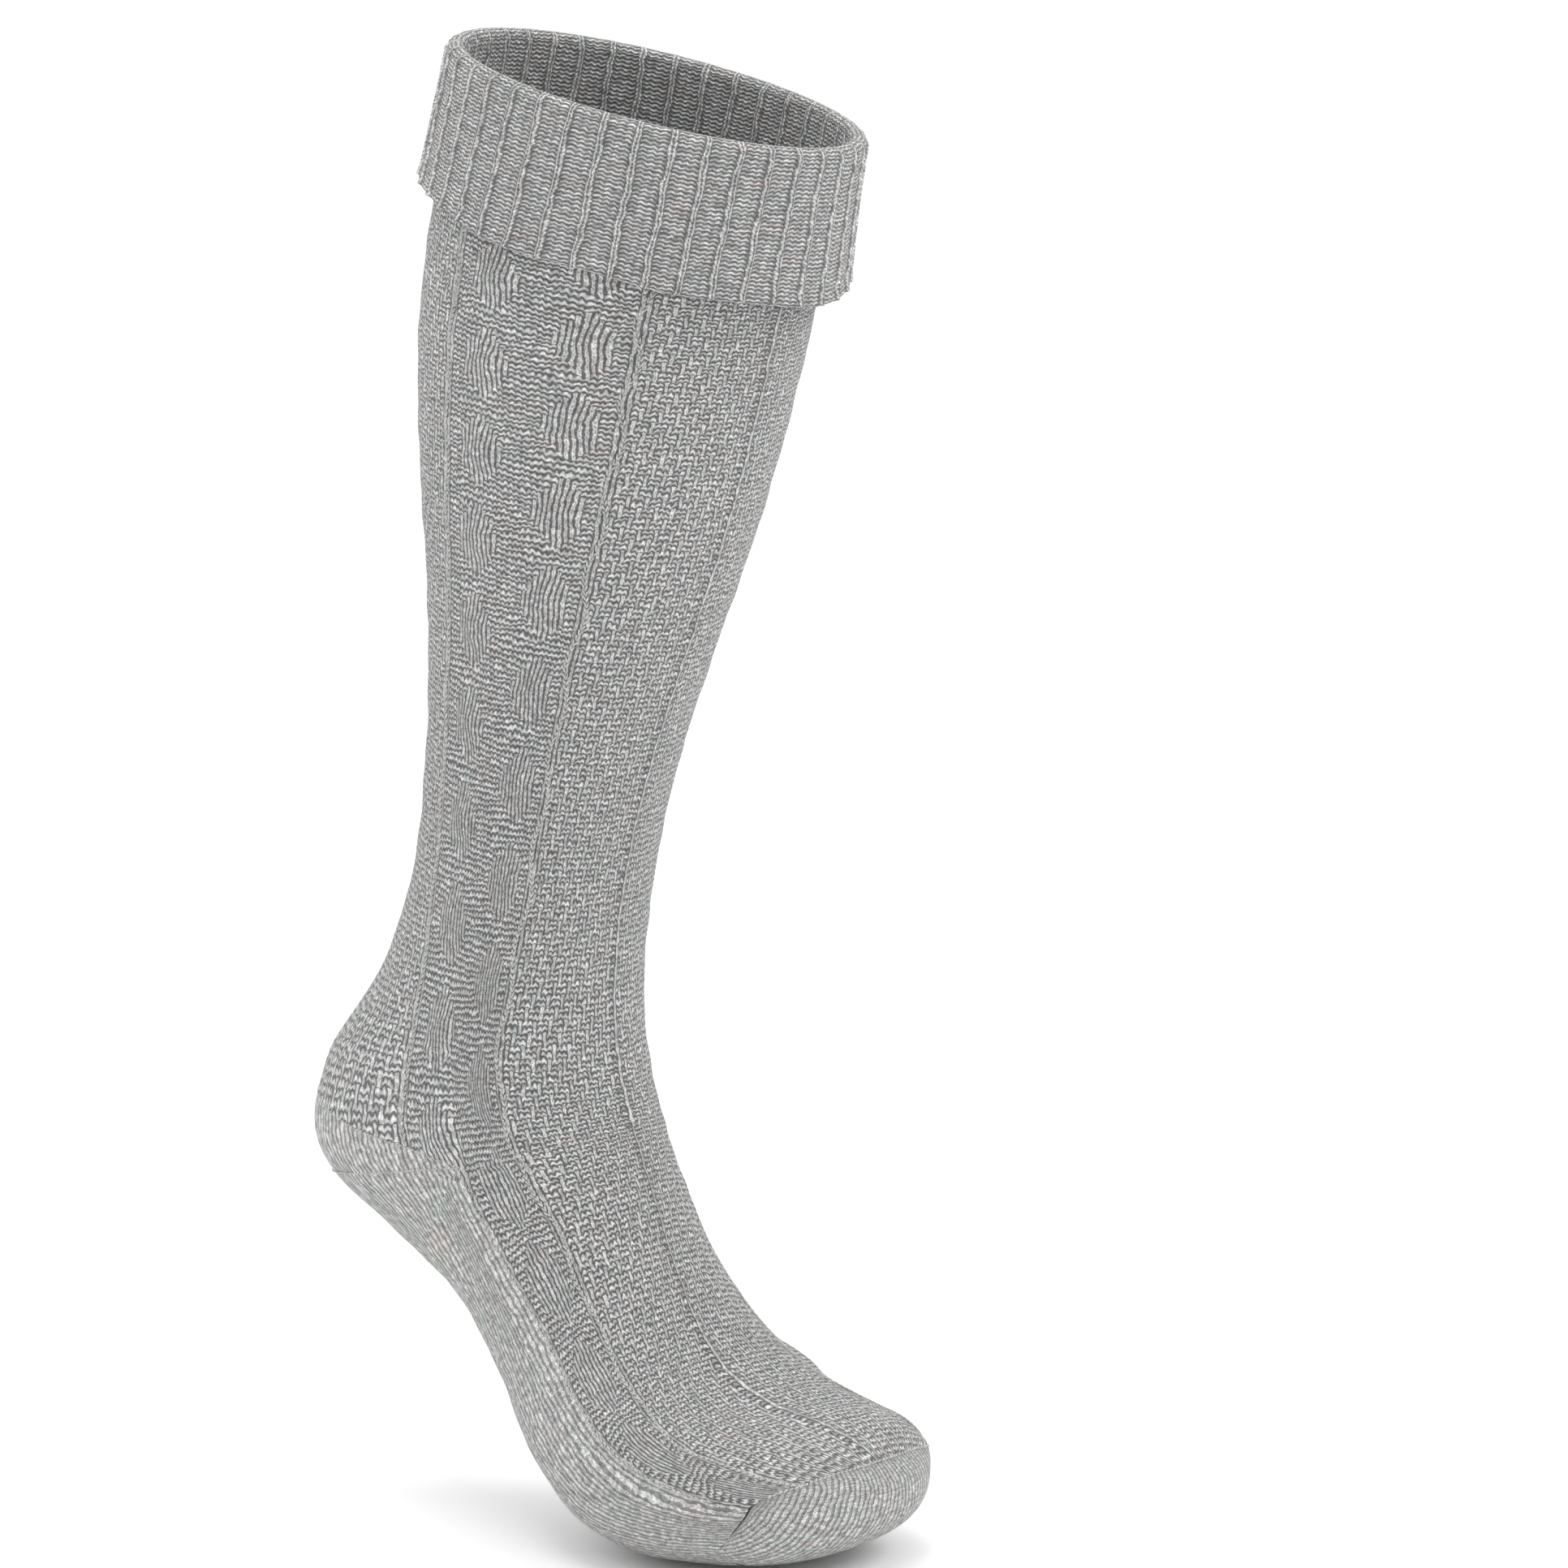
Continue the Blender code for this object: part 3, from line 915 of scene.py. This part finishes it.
@dataclass
class Cuff:
    """Ribbed cuff: the inner wall, the fold at the rim and the flap turned down outside."""

    node: str = "cuff"
    ribs: int = 38
    split: int = 3
    flap_wall: float = 0.0026
    standoff: float = 0.0010
    flare_back: float = 0.0018
    flare_front: float = 0.0050
    rib_relief: float = 0.0008

    def profile(self, angles: np.ndarray) -> list[tuple[np.ndarray, np.ndarray, float]]:
        """The cuff's section: up the inside, over the rim and down the flap.

        Args:
            angles: Degrees of the columns.

        Returns:
            Stations, heights and relief share of each ring.
        """
        forward = (1 + np.cos(np.radians(angles - 50))) / 2
        behind = (1 - np.cos(np.radians(angles))) / 2
        hem = CUFF_DEPTH * (1 - HEM_RISE_BACK * behind)
        hem = hem + 0.0010 * np.sin(np.radians(3 * angles + 40))
        hem = hem + 0.0006 * np.sin(np.radians(7 * angles))
        flare = self.flare_back + (self.flare_front - self.flare_back) * forward
        plain = 0 * angles
        top = self.standoff + self.flap_wall
        inside = np.linspace(1, 0.06, 31)
        rings = [(CUFF_INSIDE * share + plain, plain - WALL, -0.6) for share in inside]
        middle, radius = (top - WALL) / 2, (top + WALL) / 2
        for turn in np.linspace(168, 12, 6):
            rise = math.sin(math.radians(turn))
            height = middle + radius * math.cos(math.radians(turn))
            rings.append((plain + RIM_DROP - RIM_DROP * rise, plain + height, 0.5 * (1 - rise) + 0.25))
        for share in np.linspace(0.06, 0.975, 35):
            curl = HEM_CURL * np.clip((share - 0.9) / 0.1, 0, 1)
            rings.append((hem * share, top + flare * share**1.5 + curl, 1.0))
        for down, out in ((0.995, 0.62), (1.0, 0.3), (0.99, 0.05)):
            height = self.standoff + flare * down**1.5 + self.flap_wall * out
            rings.append((hem * down, height, 0.4))
        rings += [(hem * share, self.standoff + flare * share**1.5, 0.0) for share in (0.7, 0.3)]
        tucked = ((0.0034, self.standoff), (0.0030, 0.0003), (0.024, 0.0), (CUFF_INSIDE, 0.0))
        rings += [(plain + station, plain + height, 0.0) for station, height in tucked]
        return rings

    def build(self) -> bpy.types.Object:
        """Build the cuff's mesh.

        Returns:
            The cuff.
        """
        wales = self.ribs * 4
        columns = np.arange(wales * self.split) / self.split
        sway = 0.9 * np.sin(np.radians(columns * 360 / wales * 5)) - 1.5
        angles = columns * 360.0 / wales
        rise = np.where((columns // 1) % 4 == 0, np.sin(np.pi * (columns % 1)) * 1.5, 0.0)
        rise = rise + 0.12 * (np.cos(columns * np.pi / 2) < 0)
        rings = []
        for station, height, share in self.profile(angles):
            lean = sway * station / CUFF_DEPTH + 0.20 * np.sin(station * 260 + columns * 0.9)
            rings.append(FORM.lifted(station, angles + lean, height + self.rib_relief * rise * share))
        rings.append(rings[0])
        points = np.stack(rings, 0)[::-1]
        rows = len(rings)
        u = np.broadcast_to(np.append(columns, wales), (rows, len(columns) + 1))
        v = np.broadcast_to(np.arange(float(rows))[:, None], u.shape)
        smooth = np.broadcast_to(((columns // 1) % 4 == 0).astype(float), (rows - 1, len(columns)))
        rng = np.random.default_rng(3)
        tone = np.repeat(rng.uniform(-1, 1, (rows - 1, wales)), self.split, axis=1)
        # Painted shade in the valleys on each side of the ribs' smooth wales.
        valley_shade_mask = ((columns % 4 > 0.99) & (columns % 4 < 1.34)) | (columns % 4 > 3.6)
        hollow = np.broadcast_to(valley_shade_mask * 0.18, smooth.shape)
        marks = {"smooth": smooth, "tone": tone, "hollow": hollow}
        return grid_object("cuff_rib", points, np.stack([u, v], -1), marks, around=True)


@dataclass
class Toe:
    """Plain-knit toe cap: its wales run from the seam over the toes, round the tip and under."""

    node: str = "toe"
    wales: int = 50
    courses: int = 40

    def build(self) -> bpy.types.Object:
        """Build the cap's mesh.

        Returns:
            The cap.
        """
        columns = np.arange(self.wales * 2 + 1) / 2
        across = np.sin((columns / self.wales - 0.5) * math.pi)
        over = np.degrees(np.arcsin(np.abs(across) ** (self.square / 2))) * np.sign(across)
        under = np.where(over < 0, -180 - over, 180 - over)
        ends = []
        for angle in (over, under):
            dome = np.clip((toe_seam(angle) - FORM.end + DOME_LENGTH) / DOME_LENGTH, 0, 1)
            share = np.sqrt(1 - dome**2)
            turned = np.radians(angle)
            power = 2.0 / self.square
            ends.append(share[:, None] * np.stack([
                np.sign(np.sin(turned)) * np.abs(np.sin(turned)) ** power,
                np.sign(np.cos(turned)) * np.abs(np.cos(turned)) ** power], -1))
        rise = 0.5 - 0.5 * np.cos(np.linspace(0, math.pi, self.courses + 1))[:, None, None]
        flat = ends[0][None] + (ends[1] - ends[0])[None] * rise
        reach = (np.abs(flat) ** self.square).sum(-1) ** (1 / self.square)
        station = FORM.end - DOME_LENGTH * (1 - np.sqrt(np.clip(1 - reach**2, 0, 1)))
        station = np.minimum(station, FORM.end - DOME_LENGTH * 0.0005)
        bend = np.sign(flat) * np.abs(flat) ** (self.square / 2)
        angle = np.degrees(np.arctan2(bend[..., 0], bend[..., 1]))
        points = FORM.point(station, angle)
        quarters = np.array([0.0, 90, 180, 270])
        tip = FORM.point(station[reach < TIP_REACH].max() + 0 * quarters, quarters).mean(0)
        last = FOOT_SECTIONS[-1]
        depth = flat[..., 1] * np.where(flat[..., 1] > 0, last.front, last.back)
        near = tip + FOOT_RADIUS * np.stack([flat[..., 0] * last.side, 0 * depth, depth], -1)
        points = np.where((reach < TIP_REACH)[..., None], near, points)
        u = np.broadcast_to(columns, station.shape)
        v = np.broadcast_to(-np.arange(self.courses + 1.0)[:, None], u.shape)
        rng = np.random.default_rng(5)
        tone = np.repeat(rng.uniform(-1, 1, (self.courses, self.wales)), 2, axis=1)
        marks = {"smooth": 0 * tone + 1, "tone": tone, "hollow": 0 * tone}
        return grid_object("toe_cap", points, np.stack([u, v], -1), marks)

    @property
    def square(self) -> float:
        """How square the toe's section is."""
        return FOOT_SECTIONS[-1].square


@dataclass
class Lining:
    """Inner face of the knitted wall, from the cuff down to the toe."""

    node: str = "leg"
    columns: int = 60
    rows: int = 110

    def build(self) -> bpy.types.Object:
        """Build the inner face, turned to face the hollow.

        Returns:
            The lining.
        """
        angles = np.arange(self.columns) * 360.0 / self.columns
        last = FORM.end - WALL * 1.5
        station = np.linspace(CUFF_INSIDE - 0.0004, last, self.rows + 1)[:, None] + 0 * angles
        angle = np.broadcast_to(angles, station.shape)
        points = FORM.lifted(station, angle, 0 * station - WALL)
        points[-1] = points[-1].mean(0)
        points = points[:, ::-1]
        wide = np.arange(self.columns + 1) * 2.5
        u = np.broadcast_to(wide, (self.rows + 1, self.columns + 1))
        v = np.broadcast_to(np.arange(self.rows + 1.0)[:, None] * 3, u.shape)
        flat = np.zeros((self.rows, self.columns))
        marks = {"smooth": flat, "tone": flat, "hollow": flat}
        return grid_object("lining", points, np.stack([u, v], -1), marks, around=True)


@dataclass
class StitchRow:
    """A row of short strands along a line on the sock, laid out by Geometry Nodes."""

    name: str
    node: str
    paths: list[tuple[np.ndarray, np.ndarray, float, float]] = field(default_factory=list)
    spacing: float = 0.0016
    length: float = 0.0026
    width: float = 0.0011

    def path_mesh(self) -> bpy.types.Mesh:
        """Polylines of the row, with the surface's normal and the strands' lean.

        Returns:
            The mesh of edges.
        """
        points, normals, leans, edges = [], [], [], []
        for station, angle, height, lean in self.paths:
            first = len(points)
            worn = drift(station, angle)
            points += FORM.lifted(station, worn, 0 * station + height).tolist()
            normals += FORM.normal(station, worn).tolist()
            leans += [lean] * len(station)
            edges += [(first + i, first + i + 1) for i in range(len(station) - 1)]
        mesh = bpy.data.meshes.new(self.name + "_path")
        mesh.from_pydata(points, edges, [])
        made = mesh.attributes.new("up", "FLOAT_VECTOR", "POINT")
        made.data.foreach_set("vector", np.array(normals, np.float32).reshape(-1))
        made = mesh.attributes.new("lean", "FLOAT", "POINT")
        made.data.foreach_set("value", np.array(leans, np.float32))
        return mesh

    @staticmethod
    def tree() -> bpy.types.NodeTree:
        """Geometry Nodes that set a strand at each step of a line.

        Returns:
            The tree.
        """
        tree = bpy.data.node_groups.new("strand_row", "GeometryNodeTree")
        face = tree.interface
        face.new_socket("Geometry", in_out="INPUT", socket_type="NodeSocketGeometry")
        for label in ("Spacing", "Length", "Width"):
            face.new_socket(label, in_out="INPUT", socket_type="NodeSocketFloat")
        face.new_socket("Yarn", in_out="INPUT", socket_type="NodeSocketMaterial")
        face.new_socket("Geometry", in_out="OUTPUT", socket_type="NodeSocketGeometry")

        def add(kind: str, *feeds: tuple[object, object], **values: object) -> bpy.types.Node:
            """Add a node with its properties, and link or set its inputs."""
            made = tree.nodes.new(kind)
            for name, value in values.items():
                setattr(made, name, value)
            for key, value in feeds:
                if isinstance(value, bpy.types.NodeSocket):
                    tree.links.new(value, made.inputs[key])
                else:
                    made.inputs[key].default_value = value
            return made

        start = add("NodeGroupInput").outputs
        curve = add("GeometryNodeMeshToCurve", (0, start["Geometry"]))
        steps = add("GeometryNodeResampleCurve", ("Curve", curve.outputs[0]),
                    ("Length", start["Spacing"]), mode="LENGTH")
        strand = add("GeometryNodeMeshUVSphere", ("Segments", 6), ("Rings", 5), ("Radius", 0.5))
        size = add("ShaderNodeCombineXYZ", (0, start["Length"]), (1, start["Width"]),
                   (2, start["Width"]))
        up = add("GeometryNodeInputNamedAttribute", ("Name", "up"), data_type="FLOAT_VECTOR")
        lean = add("GeometryNodeInputNamedAttribute", ("Name", "lean"), data_type="FLOAT")
        tangent = add("GeometryNodeInputTangent")
        along = add("FunctionNodeAlignRotationToVector", ("Vector", tangent.outputs[0]), axis="X")
        upright = add("FunctionNodeAlignRotationToVector", ("Rotation", along.outputs[0]),
                      ("Vector", up.outputs["Attribute"]), axis="Z", pivot_axis="X")
        turn = add("FunctionNodeAxisAngleToRotation", ("Axis", (0, 0, 1)),
                   ("Angle", lean.outputs["Attribute"]))
        turned = add("FunctionNodeRotateRotation", (0, upright.outputs[0]), (1, turn.outputs[0]),
                     rotation_space="LOCAL")
        place = add("GeometryNodeInstanceOnPoints", ("Points", steps.outputs[0]),
                    ("Instance", strand.outputs[0]), ("Rotation", turned.outputs[0]),
                    ("Scale", size.outputs[0]))
        real = add("GeometryNodeRealizeInstances", (0, place.outputs[0]))
        smooth = add("GeometryNodeSetShadeSmooth", (0, real.outputs[0]))
        finish = add("GeometryNodeSetMaterial", ("Geometry", smooth.outputs[0]),
                     ("Material", start["Yarn"]))
        add("NodeGroupOutput", (0, finish.outputs[0]))
        return tree

    def build(self, tree: bpy.types.NodeTree, yarn: bpy.types.Material) -> bpy.types.Object:
        """Lay out the strands and keep them as a plain mesh.

        Args:
            tree: The strand tree.
            yarn: The strands' material.

        Returns:
            The row.
        """
        carrier = bpy.data.objects.new(self.name + "_line", self.path_mesh())
        bpy.context.scene.collection.objects.link(carrier)
        modifier = carrier.modifiers.new("strands", "NODES")
        modifier.node_group = tree
        values = {"Spacing": self.spacing, "Length": self.length, "Width": self.width, "Yarn": yarn}
        for item in tree.interface.items_tree:
            if item.in_out == "INPUT" and item.name in values:
                modifier[item.identifier] = values[item.name]
        graph = bpy.context.evaluated_depsgraph_get()
        mesh = bpy.data.meshes.new_from_object(carrier.evaluated_get(graph))
        bpy.data.objects.remove(carrier, do_unlink=True)
        mesh.name = self.name
        obj = bpy.data.objects.new(self.name, mesh)
        bpy.context.scene.collection.objects.link(obj)
        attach(obj, "root")
        return obj


@dataclass
class Studio:
    """Floor, soft lights, world and camera."""

    focus: tuple[float, float, float] = (-0.0063, -0.0563, -0.2256)
    azimuth: float = -52.0
    elevation: float = 9.2
    distance: float = 2.475
    lens: float = 172.9

    def camera(self) -> bpy.types.Object:
        """Set the camera at the photograph's angle.

        Returns:
            The camera.
        """
        a, e = math.radians(self.azimuth), math.radians(self.elevation)
        back = Vector((math.sin(a) * math.cos(e), -math.cos(a) * math.cos(e), math.sin(e)))
        data = bpy.data.cameras.new("camera")
        data.sensor_width = 36.0
        data.lens = self.lens
        data.clip_end = 100.0
        obj = bpy.data.objects.new("camera", data)
        bpy.context.scene.collection.objects.link(obj)
        obj.location = Vector(self.focus) + back * self.distance
        obj.rotation_mode = "QUATERNION"
        obj.rotation_quaternion = (-back).to_track_quat("-Z", "Y")
        bpy.context.scene.camera = obj
        return obj

    def floor(self, low: float) -> bpy.types.Object:
        """Lay the floor under the toes.

        Args:
            low: Height of the lowest point of the sock.

        Returns:
            The floor.
        """
        mesh = bpy.data.meshes.new("floor")
        half = 30.0
        corners = [(-half, -half, low), (half, -half, low), (half, half, low), (-half, half, low)]
        mesh.from_pydata(corners, [], [(0, 1, 2, 3)])
        mesh.materials.append(FloorFinish().material())
        obj = bpy.data.objects.new("floor", mesh)
        bpy.context.scene.collection.objects.link(obj)
        obj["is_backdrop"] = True
        return obj

    def light(self, name: str, place: tuple[float, float, float], size: float, power: float) -> None:
        """Hang one soft square light that faces the sock.

        Args:
            name: Its name.
            place: Where it hangs.
            size: Side of the square.
            power: Watts.
        """
        data = bpy.data.lights.new(name, "AREA")
        data.size = size
        data.energy = power
        obj = bpy.data.objects.new(name, data)
        bpy.context.scene.collection.objects.link(obj)
        obj.location = place
        way = Vector((0.0, 0.0, -0.3)) - Vector(place)
        obj.rotation_mode = "QUATERNION"
        obj.rotation_quaternion = way.to_track_quat("-Z", "Y")

    def build(self, low: float) -> None:
        """Set up the studio.

        Args:
            low: Height of the lowest point of the sock.
        """
        self.camera()
        self.floor(low)
        self.light("key_light", (1.1, -2.1, 1.9), 1.5, 29.0)
        self.light("fill_light", (-2.4, 0.2, 1.4), 2.0, 8.0)
        self.light("top_light", (-0.3, 0.2, 2.6), 1.6, 30.0)
        world = bpy.data.worlds.new("studio")
        bpy.context.scene.world = world
        world.use_nodes = True
        shade = world.node_tree.nodes["Background"]
        shade.inputs["Color"].default_value = (1.0, 1.0, 1.0, 1.0)
        shade.inputs["Strength"].default_value = 1.06
        bpy.context.scene.view_settings.view_transform = "Standard"


@dataclass
class Sock:
    """The whole sock: skins, cuff, toe, lining and stitch rows."""

    wool: WoolFinish = WoolFinish("grey_wool")
    # gap_shade sets how deep the painted shade between strands goes in each wool.
    plain: WoolFinish = WoolFinish("grey_wool_plain", gap_shade=0.66, unrest=0.55)
    rib: WoolFinish = WoolFinish("grey_wool_rib", gap_shade=0.78, strand_off=0.16, strand_lean=0.13,
                                 strand_half=0.20, unrest=0.4)
    yarn: YarnFinish = YarnFinish("grey_strand")

    def skins(self) -> list[KnitSkin]:
        """Knitted skins of the leg, heel and foot.

        Returns:
            The skins, top to bottom.
        """
        start = CUFF_INSIDE - 0.002

        def below_cuff(angle: np.ndarray) -> np.ndarray:
            """Top edge of the leg's skins, hidden by the flap."""
            return start + 0 * angle

        def heel_top(angle: np.ndarray) -> np.ndarray:
            """Line between the leg and the heel."""
            return heel_edge(angle, HEEL_TOP)

        def heel_base(angle: np.ndarray) -> np.ndarray:
            """Line between the heel and the sole."""
            return heel_edge(angle, HEEL_BOTTOM)

        def gore(angle: np.ndarray) -> np.ndarray:
            """Line across the heel where its two halves meet."""
            return np.minimum(heel_edge(angle, GORE_LINE), heel_base(angle))

        edge, side, half = PANEL_EDGE, SIDE_EDGE, HEEL_HALF_ANGLE
        leg, foot = (below_cuff, heel_top), (heel_base, toe_seam)
        return [
            KnitSkin("leg_front", "leg", Knit.MOSS, -edge, edge, 48, *leg, seed=11, centre_line=True),
            KnitSkin("leg_side_left", "leg", Knit.LOZENGE, edge, side, 30, *leg, seed=12),
            KnitSkin("leg_side_right", "leg", Knit.LOZENGE, -side, -edge, 30, *leg, seed=13),
            KnitSkin("leg_back", "leg", Knit.MOSS, side, 360 - side, 72, *leg, seed=14),
            KnitSkin("instep", "foot", Knit.MOSS, -edge, edge, 48, *foot, seed=15, centre_line=True),
            KnitSkin("foot_side_left", "foot", Knit.LOZENGE, edge, half, 14, *foot, seed=16),
            KnitSkin("foot_side_right", "foot", Knit.LOZENGE, -half, -edge, 14, *foot, seed=17),
            KnitSkin("sole", "foot", Knit.PLAIN, half, 360 - half, 76, *foot, seed=18),
            KnitSkin("heel_upper", "heel", Knit.PLAIN, half, 360 - half, 76, heel_top, gore, seed=19),
            KnitSkin("heel_lower", "heel", Knit.PLAIN, half, 360 - half, 76, gore, heel_base, seed=20),
        ]

    def rows(self) -> list[StitchRow]:
        """Borders between the panels and the seams of the heel and toe.

        Returns:
            The rows.
        """
        down = np.linspace(CUFF_INSIDE + 0.002, TOE_SEAM_TOP - 0.006, 400)
        leg = np.linspace(CUFF_INSIDE + 0.002, HEEL_TOP + 0.010, 260)
        foot = np.linspace(HEEL_CORNER + 0.004, TOE_SEAM_SIDE, 200)
        across = np.linspace(PANEL_EDGE + 2, HEEL_HALF_ANGLE, 60)
        behind = np.linspace(HEEL_HALF_ANGLE, 360 - HEEL_HALF_ANGLE, 160)
        over = np.linspace(-75, 75, 160)
        front = PANEL_EDGE + 1.7 * np.sin(lozenge_phase(down) + 0.6)
        back = SIDE_EDGE + 0.9 * np.sin(lozenge_phase(leg) + 2.6)
        rows = []
        for label, sign in (("left", 1), ("right", -1)):
            for name, run, line, length in (("front_border_", down, front, 0.0027),
                                            ("back_border_", leg, back, 0.0026)):
                pair = [(run, sign * (line + d), 0.0001, sign * lean)
                        for d, lean in ((-0.5, 0.35), (0.5, -0.35))]
                rows.append(StitchRow(name + label, "leg", pair, 0.0021, length, 0.00075))
            path = [(foot, sign * (HEEL_HALF_ANGLE + 0 * foot), 0.0, 0.15 * sign)]
            rows.append(StitchRow("sole_border_" + label, "foot", path, 0.0022, 0.0026, 0.0007))
            path = [(HEEL_CORNER + 0.001 + 0 * across, sign * across, 0.0001, 0.2)]
            rows.append(StitchRow("heel_line_" + label, "leg", path, 0.0019, 0.0024, 0.0008))
        gore = [(heel_edge(behind, GORE_LINE), behind, 0.0001, 0.2),
                (heel_edge(behind, HEEL_TOP), behind, 0.0, 0.35)]
        rows.append(StitchRow("heel_gore", "heel", gore, 0.0019, 0.0022, 0.0007))
        seam = [(toe_seam(over) - 0.0004, over, 0.0001, 0.3)]
        rows.append(StitchRow("toe_seam", "toe", seam, 0.0019, 0.0022, 0.0008))
        return rows

    def build(self) -> None:
        """Build and dress every piece."""
        wool, plain, rib = self.wool.material(), self.plain.material(), self.rib.material()
        pieces = [(skin, plain if skin.knit is Knit.PLAIN else wool) for skin in self.skins()]
        pieces += [(Cuff(), rib), (Toe(), plain), (Lining(), plain)]
        for piece, finish in pieces:
            obj = piece.build()
            dress(obj, piece.node, finish, not isinstance(piece, Lining))
            LOG.info("%s: %d faces", obj.name, len(obj.data.polygons))
        tree = StitchRow.tree()
        yarn = self.yarn.material()
        for row in self.rows():
            obj = row.build(tree, yarn)
            LOG.info("%s: %d faces", obj.name, len(obj.data.polygons))


def main() -> None:
    """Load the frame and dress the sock."""
    logging.basicConfig(level=logging.INFO, format="%(message)s")
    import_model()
    cad_low, cad_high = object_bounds()
    Sock().build()
    low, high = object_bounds()
    Studio().build(min(cad_low.z, low.z) - FLOOR_GAP)


if __name__ == "__main__":
    main()
